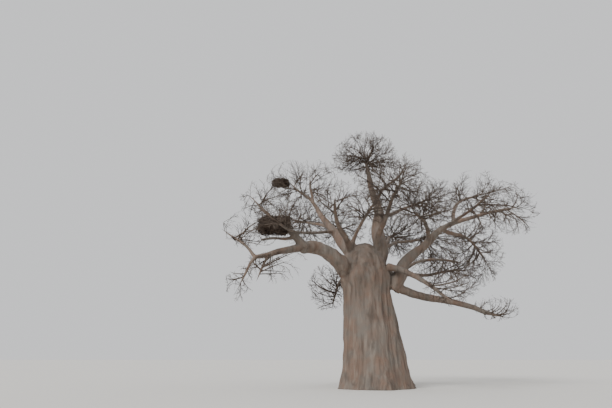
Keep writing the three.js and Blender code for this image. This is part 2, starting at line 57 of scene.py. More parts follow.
def linearColour(hexCode):
    channels = [int(hexCode[i:i + 2], 16) / 255 for i in (1, 3, 5)]
    return [c / 12.92 if c <= 0.04045 else ((c + 0.055) / 1.055) ** 2.4 for c in channels] + [1.0]


def addNode(material, kind, inputs=None, **settings):
    node = material.node_tree.nodes.new(kind)
    for name, value in settings.items():
        setattr(node, name, value)
    for socket, value in (inputs or {}).items():
        if isinstance(value, bpy.types.NodeSocket):
            material.node_tree.links.new(value, node.inputs[socket])
        else:
            node.inputs[socket].default_value = value
    return node


def newMaterial(name):
    material = bpy.data.materials.new(name)
    material.use_nodes = True
    material.node_tree.nodes.clear()
    return material


def finishMaterial(material, shader):
    addNode(material, "ShaderNodeOutputMaterial", {"Surface": shader.outputs["BSDF"]})
    return material


def deselect():
    bpy.ops.object.select_all(action="DESELECT")


def applyModifiers(piece):
    deselect()
    piece.select_set(True)
    bpy.context.view_layer.objects.active = piece
    for modifier in list(piece.modifiers):
        bpy.ops.object.modifier_apply(modifier=modifier.name)


def joinInto(piece, others):
    deselect()
    for part in [piece] + others:
        part.select_set(True)
    bpy.context.view_layer.objects.active = piece
    bpy.ops.object.join()
    return bpy.context.object


def verticesOf(piece):
    points = np.empty(len(piece.data.vertices) * 3)
    piece.data.vertices.foreach_get("co", points)
    return points.reshape(-1, 3)


def setVertices(piece, points):
    piece.data.vertices.foreach_set("co", points.ravel())
    piece.data.update()


def unit(vectors):
    return vectors / np.maximum(np.linalg.norm(vectors, axis=-1, keepdims=True), 1e-9)


def smooth(t):
    x = np.clip(t, 0, 1)
    return x * x * (3 - 2 * x)


# camera: where the photo was taken from, with a wide lens looking up from eye height
cameraView = {"place": (-3.92, -29.0, 1.6), "tiltUp": 18.0, "lens": 28.0, "sensor": 36.0}

deselect()
tilt = math.radians(90 + cameraView["tiltUp"])
bpy.ops.object.camera_add(location=cameraView["place"], rotation=(tilt, 0, 0))
camera = bpy.context.object
camera.data.lens = cameraView["lens"]
camera.data.sensor_width = cameraView["sensor"]
camera.data.clip_end = 2000
bpy.context.scene.camera = camera

# studio: a pale floor, soft sun from the left and an even pale surround
studio = {
    "floorSize": 1500.0, "floorDrop": 0.002, "floorColour": "#d8d5cf", "floorRoughness": 0.95,
    "surround": "#e9eaec", "surroundLight": 1.05,
    "sunLight": 2.4, "sunSpread": 25.0, "sunTurn": (52.0, 0.0, -38.0),
}

bpy.ops.mesh.primitive_plane_add(size=studio["floorSize"], location=(0, 0, -studio["floorDrop"]))
floor = bpy.context.object
floor.name = "floor"
paper = newMaterial("palePaperFloor")  # matt paper sweep
floor.data.materials.append(finishMaterial(paper, addNode(paper, "ShaderNodeBsdfPrincipled", {
    "Base Color": linearColour(studio["floorColour"]), "Roughness": studio["floorRoughness"]})))

bpy.ops.object.light_add(type="SUN", rotation=[math.radians(turn) for turn in studio["sunTurn"]])
bpy.context.object.data.energy = studio["sunLight"]
bpy.context.object.data.angle = math.radians(studio["sunSpread"])
world = bpy.data.worlds.new("paleSurround")
world.use_nodes = True
world.node_tree.nodes["Background"].inputs["Color"].default_value = linearColour(studio["surround"])
world.node_tree.nodes["Background"].inputs["Strength"].default_value = studio["surroundLight"]
bpy.context.scene.world = world
print("camera and studio set")


# limbs, by the rule that the solids follow

trunk = {
    "sides": 120, "rings": 60, "foot": 2.02, "flare": 0.1, "flareHeight": 0.45, "waist": 1.41, "taper": 1.25,
    "waistHeight": 5.35, "shoulder": 1.52, "shoulderHeight": 6.2, "top": 7.4, "lean": 0.42, "leanBend": 1.5,
    "depth": 0.96, "skirt": 0.5, "domeStep": 12,
    "fold": 0.035,  # depth of the folds down its side, as a share of its radius; they turn by radians
    "folds": [(5, 1.0, 0.6, 0.12), (3, 0.5, 0.0, 0.0), (9, 0.6, 0.0, -0.2)],  # number, depth, start, twist
    "foldAbove": 0.7, "foldAtFoot": 0.9, "foldFade": 0.8,
    "forkCentre": (-0.35, 0.05, 6.55), "forkHalf": (1.42, 1.3, 1.9),
}

# Each bough leaves a point inside the trunk, or a share of the way along another. rise is the climb above
# level and bearing the turn from +X towards +Y, from root to tip. It is bare for a share of its line, and the
# rest is the stem of the twigs that it enters.
boughs = {
    "leader": {"root": [0.35, 0, 7.0], "length": 6.65, "bare": 1, "girth": [0.52, 0.13],
        "rise": [72, 84, 80, 76], "bearing": [-4, 76, 152, 222]},
    "left_rise": {"root": [-0.65, 0.1, 7.2], "length": 7.4, "bare": 0.86, "girth": [0.6, 0.07],
        "taper": 1.8, "rise": [65, 50, 48, 59, 48, 36], "bearing": [161, 155, 144, 137, 145, 159]},
    "left_sweep": {"root": [-0.85, -0.2, 6.05], "length": 4.3, "bare": 1, "girth": [0.56, 0.34],
        "rise": [40, 40, 15, -14], "bearing": [-156, -151, -147, -147]},
    "right_bough": {"root": [1.2, -0.1, 5.65], "length": 8.5, "bare": 0.78, "girth": [0.47, 0.09],
        "taper": 1.7, "rise": [54, 52, 33, 17, 3], "bearing": [-16, -17, -14, -12, -12]},
    "lowest_right": {"root": [0.86, -0.15, 5.92], "length": 6.5, "bare": 0.72, "girth": [0.28, 0.14],
        "rise": [-18, -20, -10, -9, -26], "bearing": [-6, 2, 8, 8, 11]},
    "right_back": {"root": [1.1, 0.3, 6.6], "length": 7.6, "bare": 0.75, "girth": [0.16, 0.08],
        "rise": [2, 8, 16], "bearing": [40, 43, 36]},
    "right_drop": {"root": [1.0, -0.6, 6.85], "length": 4.7, "bare": 0.6, "girth": [0.2, 0.08],
        "rise": [-16, -30, -35], "bearing": [-42, -58, -67]},
    "left_hanger": {"root": [-0.8, 0.9, 6.9], "length": 2.2, "bare": 0.5, "girth": [0.15, 0.07],
        "rise": [0, -45, -88], "bearing": [138, 155, 172]},
    "front_left": {"root": [-1.1, -0.2, 7.8], "length": 4.9, "bare": 0.6, "girth": [0.22, 0.08],
        "taper": 1.3, "rise": [40, 24, 14, 9], "bearing": [-118, -114, -103, -88]},
    "front_mid": {"root": [0.35, -0.1, 7.7], "length": 5.4, "bare": 0.6, "girth": [0.22, 0.08],
        "taper": 1.3, "rise": [48, 40, 26, 14], "bearing": [-82, -78, -79, -81]},
    "back_left": {"root": [-1.0, 0.5, 8.0], "length": 5.7, "bare": 0.67, "girth": [0.24, 0.08],
        "taper": 1.3, "rise": [46, 31, 20], "bearing": [110, 93, 87]},
    "back_mid": {"root": [0.6, 0.5, 7.5], "length": 6.0, "bare": 0.6, "girth": [0.24, 0.09],
        "taper": 1.3, "rise": [40, 26, 20], "bearing": [66, 70, 68]},
    "mid_left": {"root": [-1.15, -0.35, 8.1], "length": 2.8, "bare": 0.67, "girth": [0.13, 0.08],
        "rise": [50, 49, 38], "bearing": [-64, -57, -43]},
    "back_right": {"on": "back_mid", "at": 0.2, "length": 5.3, "bare": 0.8, "girth": [0.13, 0.08],
        "rise": [32, 12, 22], "bearing": [51, 37, 38]},
    "left_nest_arm": {"on": "left_sweep", "at": 0.97, "length": 3.2, "bare": 1, "girth": [0.24, 0.09],
        "rise": [56, 34, 42], "bearing": [-160, -166, -170]},
    "left_low_arm": {"on": "left_sweep", "at": 0.93, "length": 3.5, "bare": 1, "girth": [0.24, 0.11],
        "rise": [-6, -15, -26, -8], "bearing": [-150, -148, -144, -147]},
    "left_shelf": {"on": "left_nest_arm", "at": 0.25, "length": 2.1, "bare": 1, "girth": [0.1, 0.07],
        "rise": [-21, -3, -15], "bearing": [-166, -160, -156]},
    "left_droop": {"on": "left_low_arm", "at": 0.98, "length": 1.3, "bare": 0.5, "girth": [0.09, 0.06],
        "rise": [-52, -65], "bearing": [-140, -136]},
    "left_tip": {"on": "left_low_arm", "at": 0.98, "length": 1.8, "bare": 0.5, "girth": [0.09, 0.07],
        "rise": [57, 41, 28], "bearing": [160, 156, 154]},
    "left_spur": {"on": "left_low_arm", "at": 0.66, "length": 1.2, "bare": 0.5, "girth": [0.09, 0.06],
        "rise": [-47, -66], "bearing": [-156, -148]},
    "left_fore": {"on": "left_rise", "at": 0.37, "length": 6.0, "bare": 0.83, "girth": [0.11, 0.07],
        "rise": [-10, -16, -8, 8], "bearing": [-128, -127, -121, -114]},
    "left_rise_top": {"on": "left_rise", "at": 0.76, "length": 1.5, "bare": 0.4, "girth": [0.1, 0.08],
        "rise": [78, 76], "bearing": [140, 106]},
    "left_back": {"on": "left_rise", "at": 0.42, "length": 4.1, "bare": 0.5, "girth": [0.12, 0.07],
        "rise": [24, 19, 16], "bearing": [127, 123, 117]},
    "leader_right": {"on": "leader", "at": 0.48, "length": 5.3, "bare": 0.6, "girth": [0.14, 0.07],
        "rise": [27, 23, 27], "bearing": [33, 41, 38]},
    "leader_high": {"on": "leader", "at": 0.66, "length": 2.3, "bare": 0.4, "girth": [0.09, 0.07],
        "rise": [56, 24, 20], "bearing": [-60, -52, -50]},
    "right_front": {"on": "right_bough", "at": 0.44, "length": 3.2, "bare": 0.6, "girth": [0.14, 0.08],
        "rise": [36, 14, -1], "bearing": [-100, -116, -126]},
    "right_crest": {"on": "right_bough", "at": 0.66, "length": 3.8, "bare": 0.55, "girth": [0.12, 0.07],
        "rise": [67, 36, 16], "bearing": [80, 38, 9]},
    "right_fore": {"on": "right_bough", "at": 0.6, "length": 3.3, "bare": 0.5, "girth": [0.11, 0.07],
        "rise": [4, 6, 10], "bearing": [-70, -76, -78]},
    "right_weeper": {"on": "right_bough", "at": 0.56, "length": 3.9, "bare": 0.6, "girth": [0.13, 0.07],
        "rise": [-8, 2, -24, -58], "bearing": [37, 34, 30, 26]},
    "right_arch": {"on": "right_back", "at": 0.12, "length": 5.3, "bare": 0.5, "girth": [0.12, 0.07],
        "rise": [39, 12, -7], "bearing": [16, 29, 27]},
}

# Each mass of twigs keeps to an ellipsoid, cut off below floor and above ceiling (shares of its half height).
masses = {
    "crown_top": {"on": "leader", "centre": [0.05, 0.5, 14.0], "half": [2.35, 2.1, 2.4],
        "floor": -0.14, "further": 1.6, "branchlets": 9, "lift": 0.5, "seed": 12},
    "upper_right": {"on": "leader_high", "centre": [1.75, -1.25, 12.4], "half": [2.1, 1.9, 1.65],
        "further": 0.9, "branchlets": 6, "lift": 0.4, "seed": 13},
    "right_shoulder": {"on": "leader_right", "centre": [4.95, 3.25, 12.35], "half": [2.5, 2.1, 1.8],
        "further": 0.9, "branchlets": 6, "lift": 0.5, "seed": 13},
    "left_crown": {"on": "left_rise", "centre": [-4.55, 2.5, 13.25], "half": [2.35, 2.05, 1.9],
        "further": 1.4, "branchlets": 6, "lift": 0.5, "seed": 14},
    "left_summit": {"on": "left_rise_top", "centre": [-3.15, 2.45, 13.4], "half": [1.85, 1.65, 1.75],
        "further": 0.8, "branchlets": 6, "lift": 0.5, "seed": 15},
    "left_behind": {"on": "left_back", "centre": [-4.2, 4.4, 11.25], "half": [2.3, 2.0, 2.0],
        "further": 0.8, "branchlets": 4, "lift": 0.4, "seed": 16},
    "left_fan": {"on": "left_nest_arm", "centre": [-6.5, -2.5, 10.35], "half": [1.5, 1.4, 1.4],
        "further": 1.3, "branchlets": 5, "lift": 0.5, "seed": 17},
    "left_end": {"on": "left_tip", "centre": [-7.05, -3.1, 8.45], "half": [1.7, 1.2, 1.2],
        "further": 1.2, "branchlets": 5, "lift": 0.2, "seed": 18},
    "left_weeping": {"on": "left_droop", "centre": [-7.4, -4.2, 5.35], "half": [0.8, 0.75, 1.05],
        "further": 0.6, "branchlets": 4, "lift": -0.5, "seed": 19},
    "left_curtain": {"on": "left_spur", "centre": [-5.6, -3.15, 6.55], "half": [1.85, 0.8, 1.1],
        "ceiling": 0.65, "further": 0.7, "branchlets": 5, "lift": -1.2, "seed": 20},
    "left_front": {"on": "left_fore", "centre": [-5.26, -4.66, 9.08], "half": [1.65, 1.42, 1.12],
        "further": 0.6, "branchlets": 5, "lift": 0.3, "seed": 21},
    "hanging_left": {"on": "left_hanger", "centre": [-2.55, 1.6, 5.95], "half": [1.35, 1.1, 1.6],
        "further": 1.1, "branchlets": 5, "lift": -0.3, "seed": 22},
    "front_leftward": {"on": "front_left", "centre": [-2.26, -4.63, 9.8], "half": [1.8, 1.6, 1.2],
        "further": 0.7, "branchlets": 5, "lift": 0.4, "seed": 23},
    "front_middle": {"on": "front_mid", "centre": [0.6, -4.85, 10.55], "half": [2.2, 1.9, 1.55],
        "further": 0.8, "branchlets": 6, "lift": 0.4, "seed": 24},
    "back_leftward": {"on": "back_left", "centre": [-1.45, 5.27, 10.86], "half": [2.3, 2.0, 1.6],
        "further": 0.8, "branchlets": 5, "lift": 0.4, "seed": 25},
    "back_middle": {"on": "back_mid", "centre": [3.05, 5.6, 10.45], "half": [2.5, 2.0, 1.85],
        "further": 0.8, "branchlets": 4, "lift": 0.4, "seed": 26},
    "back_rightward": {"on": "back_right", "centre": [5.6, 5.2, 9.45], "half": [2.35, 1.95, 1.8],
        "further": 0.7, "branchlets": 4, "lift": 0.3, "seed": 27},
    "middle_left": {"on": "mid_left", "centre": [-0.05, -2.3, 10.0], "half": [2.0, 1.3, 1.5],
        "floor": -0.45, "further": 0.5, "branchlets": 4, "lift": 0.4, "seed": 28},
    "right_end": {"on": "right_bough", "centre": [8.35, -1.65, 10.15], "half": [1.95, 1.6, 1.75],
        "further": 1.2, "branchlets": 6, "lift": 0.3, "seed": 29},
    "right_summit": {"on": "right_crest", "centre": [7.4, 0.5, 11.9], "half": [2.35, 1.75, 1.6],
        "further": 0.8, "branchlets": 6, "lift": 0.5, "seed": 30},
    "right_front_end": {"on": "right_fore", "centre": [5.7, -4.75, 9.35], "half": [1.8, 1.6, 1.55],
        "further": 0.6, "branchlets": 4, "lift": 0.4, "seed": 31},
    "right_forward": {"on": "right_front", "centre": [2.7, -3.6, 9.6], "half": [2.3, 1.65, 1.65],
        "further": 0.7, "branchlets": 4, "lift": 0.4, "seed": 32},
    "right_weeping": {"on": "right_weeper", "centre": [6.85, 1.1, 8.15], "half": [2.05, 1.6, 2.35],
        "further": 0.7, "branchlets": 6, "lift": -0.6, "seed": 33},
    "right_behind": {"on": "right_back", "centre": [7.1, 4.6, 7.7], "half": [1.75, 1.5, 1.5],
        "further": 0.6, "branchlets": 4, "lift": -0.1, "seed": 34},
    "right_inner": {"on": "right_arch", "centre": [4.88, 3.0, 7.44], "half": [1.95, 1.5, 1.35],
        "further": 0.6, "branchlets": 4, "lift": -0.2, "seed": 37},
    "low_curtain": {"on": "right_drop", "centre": [3.8, -3.85, 5.2], "half": [1.65, 1.4, 1.05],
        "further": 0.6, "branchlets": 5, "lift": 0.3, "seed": 35},
    "low_end": {"on": "lowest_right", "centre": [7.75, 0.6, 4.55], "half": [1.5, 0.8, 0.85],
        "further": 1.2, "branchlets": 4, "lift": 0.5, "seed": 36},
}

nests = {
    "stick_nest_large": {
        "centre": [-5.74, -2.45, 8.92], "half": [0.92, 0.66, 0.44], "seed": 51, "sticks": 2400},
    "stick_nest_small": {
        "centre": [-5.7, 2.75, 13.49], "half": [0.57, 0.46, 0.23], "seed": 52, "sticks": 1100},
}

limbRule = {
    "step": 1.0, "perStep": 8, "fewestSteps": 3,
    "wander": 0.3,  # how far a limb strays from its line, as a share of its radius
    "waves": [1.9, 2.3, 1.7], "phases": [0, 2, 4], "phaseStep": 2.4,  # radians, waves for each metre
    "straightRoot": 1.5,
    "collar": 0.22, "collarLength": 0.7,  # swelling where a limb leaves what bears it
    "stemLift": 0.3,
    "sunk": 2,  # points of its bough that the stem of a mass starts with
}


def trunkMiddle(height):
    # where the middle of the trunk stands, left of its foot
    return -trunk["lean"] * (np.maximum(height, 0) / trunk["top"]) ** trunk["leanBend"]


def fromTrunkAxis(points):
    return np.hypot(points[:, 0] - trunkMiddle(points[:, 2]), points[:, 1])


def heading(rise, bearing):
    up, turn = math.radians(rise), math.radians(bearing)
    return np.array([math.cos(up) * math.cos(turn), math.cos(up) * math.sin(turn), math.sin(up)])


def blend(stations, share):
    return np.interp(share * (len(stations) - 1), range(len(stations)), stations)


def placesOn(lines, radii, share):
    # point, heading and radius at a share of the way along each of many lines
    steps = np.diff(lines, axis=1)
    lengths = np.linalg.norm(steps, axis=2)
    ends = np.cumsum(lengths, axis=1)
    along = share * ends[:, -1]
    i = np.minimum((ends < along[:, None]).sum(axis=1), lengths.shape[1] - 1)
    row = np.arange(len(lines))
    t = (along - ends[row, i] + lengths[row, i]) / lengths[row, i]
    points = lines[row, i] + steps[row, i] * t[:, None]
    girths = radii[row, i] + (radii[row, i + 1] - radii[row, i]) * t
    return points, steps[row, i] / lengths[row, i][:, None], girths


def placesAlong(lines, radii, shares):
    # points, headings and radii at each of the shares of every line
    places = [placesOn(lines, radii, share) for share in shares]
    return (np.concatenate([place[k] for place in places]) for k in range(3))


def roundedPath(points, values, perStep):
    # a smooth line through the points, with its values blended between them
    padded = np.vstack([2 * points[0] - points[1], points, 2 * points[-1] - points[-2]])
    path = []
    for i in range(len(points) - 1):
        a, b, c, d = padded[i:i + 4]
        for t in np.arange(perStep) / perStep:
            path.append(0.5 * (2 * b + (c - a) * t + (2 * a - 5 * b + 4 * c - d) * t * t
                               + (3 * b - a - 3 * c + d) * t ** 3))
    path.append(points[-1])
    return np.array(path), np.interp(np.arange(len(path)) / perStep, range(len(values)), values)


def distanceAlong(line):
    return np.arange(len(line)) * limbRule["step"] / limbRule["perStep"]


def boughRoot(bough):
    if "on" not in bough:
        return np.array(bough["root"], float)
    bearer = paths[bough["on"]]
    line, radii = bearer["line"][:bearer["whole"]], bearer["radii"][:bearer["whole"]]
    return placesOn(line[None], radii[None], bough["at"])[0][0]


def strayed(line, radii, number):
    # the line with a slight wander, which starts from nothing at its root
    along = distanceAlong(line)
    phases = limbRule["phaseStep"] * number + np.array(limbRule["phases"])
    away = np.sin(along[:, None] * np.array(limbRule["waves"]) + phases) * limbRule["wander"] * radii[:, None]
    return line + away * smooth(along / limbRule["straightRoot"])[:, None]


def boughPath(name, number):
    # the bough's whole line and radii, with the number of the point where its bare part ends
    bough = boughs[name]
    count = max(limbRule["fewestSteps"], int(bough["length"] / limbRule["step"] + 0.5))
    points = [boughRoot(bough)]
    for i in range(count):
        t = (i + 0.5) / count
        step = heading(blend(bough["rise"], t), blend(bough["bearing"], t)) * bough["length"] / count
        points.append(points[i] + step)
    root, tip = bough["girth"]
    radii = [tip + (root - tip) * (1 - i / count) ** bough.get("taper", 1) for i in range(count + 1)]
    split = min(max(int(count * bough["bare"] + 0.5), 1), count)
    mass = next((m for m in masses.values() if m["on"] == name), None)
    if mass:
        onward = unit(points[-1] - points[-2]) + np.array([0, 0, limbRule["stemLift"] * mass["lift"]])
        points.append(points[-1] + unit(onward) * mass["further"])
        radii.append(0)
    perStep = limbRule["perStep"]
    line, radii = roundedPath(np.array(points), np.array(radii), perStep)
    line = strayed(line, radii, number)
    return {"line": line, "radii": radii, "split": split * perStep, "whole": count * perStep + 1}


paths = {}
for number, name in enumerate(boughs):
    paths[name] = boughPath(name, number)
print("limb lines worked out:", len(paths))


# trunk and boughs as one skin

skin = {
    "voxel": 0.04, "smoothing": 5,
    "foldDepth": 0.1, "foldWidth": 0.6, "foldHeight": 3.2,  # depths as shares of the limb's radius
    "rillDepth": 0.05, "rillWidth": 0.24, "rillHeight": 1.5,
    "lumpDepth": 0.05, "lumpSize": 0.7,
    "foldRidge": 0.5, "rillRidge": 0.4,  # how far the ridges between folds and rills stand out
    "deepest": 0.07, "triangles": 190000,
    "trunkGirth": 1.2, "thinnest": 0.08,  # radii that the relief is scaled by
    "trunkWidth": 1.5, "overShoulder": 0.8, "offLimbs": 0.05,  # what counts as the trunk's own skin
}


def trunkRadius(height):
    barrel = (trunk["foot"] - trunk["waist"]) * max(1 - height / trunk["waistHeight"], 0) ** trunk["taper"]
    rise = (height - trunk["waistHeight"]) / (trunk["shoulderHeight"] - trunk["waistHeight"])
    swell = (trunk["shoulder"] - trunk["waist"]) * smooth(rise)
    return trunk["waist"] + barrel + swell + trunk["flare"] * math.exp(-max(height, 0) / trunk["flareHeight"])


def barrelProfile():
    # height and radius of each ring, from a skirt below the ground cut to the top of the dome
    heights = np.linspace(0, trunk["shoulderHeight"], trunk["rings"])
    rings = [(-trunk["skirt"], trunkRadius(0))] + [(z, trunkRadius(z)) for z in heights]
    for turn in np.radians(np.arange(trunk["domeStep"], 90, trunk["domeStep"])):
        dome = trunk["top"] - trunk["shoulderHeight"]
        rings.append((trunk["shoulderHeight"] + dome * math.sin(turn), trunk["shoulder"] * math.cos(turn)))
    return rings


def foldBarrel(barrel):
    # broad folds down its side, deeper towards its foot, and its lean
    points = verticesOf(barrel)
    turn = np.arctan2(points[:, 1], points[:, 0])
    height = np.maximum(points[:, 2], 0)
    waves = 0
    for number, depth, start, twist in trunk["folds"]:
        waves = waves + depth * np.cos(number * turn + start + twist * height)
    depth = trunk["foldAbove"] + trunk["foldAtFoot"] * np.exp(-height / trunk["foldFade"])
    swell = 1 + trunk["fold"] * waves * depth
    points[:, 0] = points[:, 0] * swell + trunkMiddle(height)
    points[:, 1] *= swell * trunk["depth"]
    setVertices(barrel, points)


def makeBarrel():
    rings = barrelProfile()
    deselect()
    bpy.ops.mesh.primitive_circle_add(
        vertices=trunk["sides"], radius=rings[0][1], fill_type="NGON", location=(0, 0, rings[0][0]))
    barrel = bpy.context.object
    bpy.ops.object.mode_set(mode="EDIT")
    bpy.ops.mesh.select_all(action="SELECT")
    for (low, wide), (high, narrow) in zip(rings, rings[1:]):
        bpy.ops.mesh.extrude_region_move(TRANSFORM_OT_translate={"value": (0, 0, high - low)})
        bpy.ops.transform.resize(value=(narrow / wide, narrow / wide, 1), center_override=(0, 0, high))
    bpy.ops.mesh.select_all(action="SELECT")
    bpy.ops.mesh.normals_make_consistent(inside=False)
    bpy.ops.object.mode_set(mode="OBJECT")
    bpy.ops.object.transform_apply()
    foldBarrel(barrel)
    return barrel


def makeFork():
    deselect()
    bpy.ops.mesh.primitive_uv_sphere_add(segments=64, ring_count=32, location=trunk["forkCentre"])
    fork = bpy.context.object
    bpy.ops.transform.resize(value=trunk["forkHalf"])
    bpy.ops.object.transform_apply()
    return fork


def makeLimbs():
    # all the boughs as one bevelled curve, each spline with its own taper
    curve = bpy.data.curves.new("limbs", "CURVE")
    curve.dimensions = "3D"
    curve.bevel_depth = 1.0
    curve.bevel_resolution = 5
    curve.use_fill_caps = True
    for path in paths.values():
        line, radii = path["line"][:path["split"] + 1], path["radii"][:path["split"] + 1]
        radii = radii * (1 + limbRule["collar"] * np.exp(-distanceAlong(line) / limbRule["collarLength"]))
        spline = curve.splines.new("POLY")
        spline.points.add(len(line) - 1)
        spline.points.foreach_set("co", np.column_stack([line, np.ones(len(line))]).ravel())
        spline.points.foreach_set("radius", radii)
    limbs = bpy.data.objects.new("limbs", curve)
    bpy.context.collection.objects.link(limbs)
    deselect()
    limbs.select_set(True)
    bpy.context.view_layer.objects.active = limbs
    bpy.ops.object.convert(target="MESH")
    return bpy.context.object


def limbGirth(points):
    # radius of the limb that each point of the skin lies on
    girth = np.full(len(points), skin["thinnest"])
    nearest = np.full(len(points), np.inf)
    for path in paths.values():
        for centre, radius in zip(path["line"][:path["split"] + 1:2], path["radii"][::2]):
            distance = np.linalg.norm(points - centre, axis=1) - radius
            closer = distance < nearest
            nearest[closer] = distance[closer]
            girth[closer] = radius
    onTrunk = points[:, 2] < trunk["shoulderHeight"] + skin["overShoulder"]
    onTrunk &= fromTrunkAxis(points) < trunk["shoulder"] * skin["trunkWidth"]
    onTrunk &= nearest > skin["offLimbs"]
    return np.where(onTrunk, skin["trunkGirth"], girth)


def relief(points, girth):
    # how far the bark stands out: long folds, narrower rills between them and soft lumps
    depth = np.empty(len(points))
    for i, (x, y, z) in enumerate(points):
        fold = noise.noise(Vector((x / skin["foldWidth"], y / skin["foldWidth"], z / skin["foldHeight"])))
        rill = noise.noise(Vector((x / skin["rillWidth"], y / skin["rillWidth"], z / skin["rillHeight"])))
        lump = noise.noise(Vector((x, y, z)) / skin["lumpSize"])
        depth[i] = (skin["foldDepth"] * (skin["foldRidge"] - 2 * abs(fold))
                    + skin["rillDepth"] * (skin["rillRidge"] - 2 * abs(rill)) + skin["lumpDepth"] * lump)
    return np.clip(depth * girth, -skin["deepest"], skin["deepest"])


def weldAndSmooth(piece):
    remesh = piece.modifiers.new("skin", "REMESH")
    remesh.mode = "VOXEL"
    remesh.voxel_size = skin["voxel"]
    even = piece.modifiers.new("even", "SMOOTH")
    even.factor = 0.5
    even.iterations = skin["smoothing"]
    applyModifiers(piece)


def raiseRelief(piece):
    points = verticesOf(piece)
    normals = np.empty(len(points) * 3)
    piece.data.vertex_normals.foreach_get("vector", normals)
    depth = relief(points, limbGirth(points))
    setVertices(piece, points + normals.reshape(-1, 3) * depth[:, None])


def cutAtGround(piece):
    bpy.ops.object.mode_set(mode="EDIT")
    bpy.ops.mesh.select_all(action="SELECT")
    bpy.ops.mesh.bisect(plane_co=(0, 0, 0), plane_no=(0, 0, 1), use_fill=True, clear_inner=True)
    bpy.ops.object.mode_set(mode="OBJECT")


def thinOut(piece):
    # fewer triangles, with nothing left below the ground
    thin = piece.modifiers.new("thin", "DECIMATE")
    thin.ratio = skin["triangles"] / (2 * len(piece.data.polygons))
    applyModifiers(piece)
    points = verticesOf(piece)
    points[:, 2] = np.maximum(points[:, 2], 0)
    setVertices(piece, points)


def makeSkin():
    piece = joinInto(makeBarrel(), [makeFork(), makeLimbs()])
    piece.name = "trunk_and_boughs"
    weldAndSmooth(piece)
    raiseRelief(piece)
    cutAtGround(piece)
    thinOut(piece)
    bpy.ops.object.shade_smooth()
    return piece


# Baobab bark: a thin grey-brown skin with a pink tinge, worn matt and paler in streaks; painted shade darkens
# it in its creases.
barkLook = {
    # the fourth colour and its share are painted shade, laid in the creases
    "grey": "#6b635b", "pink": "#735f52", "pale": "#857a6f", "paintedCreaseShade": "#3d342d",
    "patch": 900, "streak": 210, "crease": 260, "grain": 22,  # real sizes in millimetres
    "paleShare": 0.65, "paintedShadeShare": 0.6, "creaseDepth": 0.06, "grainDepth": 0.006,
    "upright": 0.16,  # streaks and creases run up the limb: their width as a share of their height
    "roughness": 0.82, "wear": 0.08, "ior": 1.45,
}


def baobabBark():
    bark = newMaterial("baobabBark")
    place = addNode(bark, "ShaderNodeTexCoord").outputs["Object"]
    patch = addNode(bark, "ShaderNodeTexNoise", {
        "Vector": place, "Scale": 1000 / barkLook["patch"], "Detail": 5.0, "Roughness": 0.6})
    pinkShare = addNode(bark, "ShaderNodeMapRange", {
        "Value": patch.outputs["Fac"], "From Min": 0.38, "From Max": 0.62})
    # sockets of the Mix nodes, by number: 0 their share, 6 the colour below, 7 the one laid on it, out of 2
    tone = addNode(bark, "ShaderNodeMix", {
        0: pinkShare.outputs["Result"], 6: linearColour(barkLook["grey"]),
        7: linearColour(barkLook["pink"])}, data_type="RGBA")
    tall = addNode(bark, "ShaderNodeMapping", {
        "Vector": place, "Scale": (1.0, 1.0, barkLook["upright"])})
    streak = addNode(bark, "ShaderNodeTexNoise", {
        "Vector": tall.outputs["Vector"], "Scale": 1000 / barkLook["streak"], "Detail": 4.0})
    paleShare = addNode(bark, "ShaderNodeMapRange", {
        "Value": streak.outputs["Fac"], "From Min": 0.5, "From Max": 0.72, "To Max": barkLook["paleShare"]})
    weathered = addNode(bark, "ShaderNodeMix", {
        0: paleShare.outputs["Result"], 6: tone.outputs[2],
        7: linearColour(barkLook["pale"])}, data_type="RGBA")
    crease = addNode(bark, "ShaderNodeTexNoise", {
        "Vector": tall.outputs["Vector"], "Scale": 1000 / barkLook["crease"], "Detail": 5.0,
        "Distortion": 0.5})
    # painted shade: the colour darkens where the crease noise sinks, the same noise that bumps the creases in
    paintedShadeShare = addNode(bark, "ShaderNodeMapRange", {
        "Value": crease.outputs["Fac"], "From Min": 0.5, "From Max": 0.3, "To Max": barkLook["paintedShadeShare"]})
    creaseShadedColour = addNode(bark, "ShaderNodeMix", {
        0: paintedShadeShare.outputs["Result"], 6: weathered.outputs[2],
        7: linearColour(barkLook["paintedCreaseShade"])}, data_type="RGBA")
    grain = addNode(bark, "ShaderNodeTexNoise", {
        "Vector": place, "Scale": 1000 / barkLook["grain"], "Detail": 3.0})
    creaseBump = addNode(bark, "ShaderNodeBump", {
        "Height": crease.outputs["Fac"], "Strength": 0.5, "Distance": barkLook["creaseDepth"]})
    grainBump = addNode(bark, "ShaderNodeBump", {
        "Height": grain.outputs["Fac"], "Strength": 0.5, "Distance": barkLook["grainDepth"],
        "Normal": creaseBump.outputs["Normal"]})
    worn = addNode(bark, "ShaderNodeMapRange", {
        "Value": streak.outputs["Fac"], "To Min": barkLook["roughness"] + barkLook["wear"],
        "To Max": barkLook["roughness"] - barkLook["wear"]})
    return finishMaterial(bark, addNode(bark, "ShaderNodeBsdfPrincipled", {
        "Base Color": creaseShadedColour.outputs[2], "Roughness": worn.outputs["Result"], "IOR": barkLook["ior"],
        "Normal": grainBump.outputs["Normal"]}))


bark = baobabBark()
trunkAndBoughs = makeSkin()
trunkAndBoughs.data.materials.clear()
trunkAndBoughs.data.materials.append(bark)
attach(trunkAndBoughs, "root")
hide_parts("trunk", *boughs)
print("trunk and boughs made:", len(trunkAndBoughs.data.polygons), "faces")


# twigs

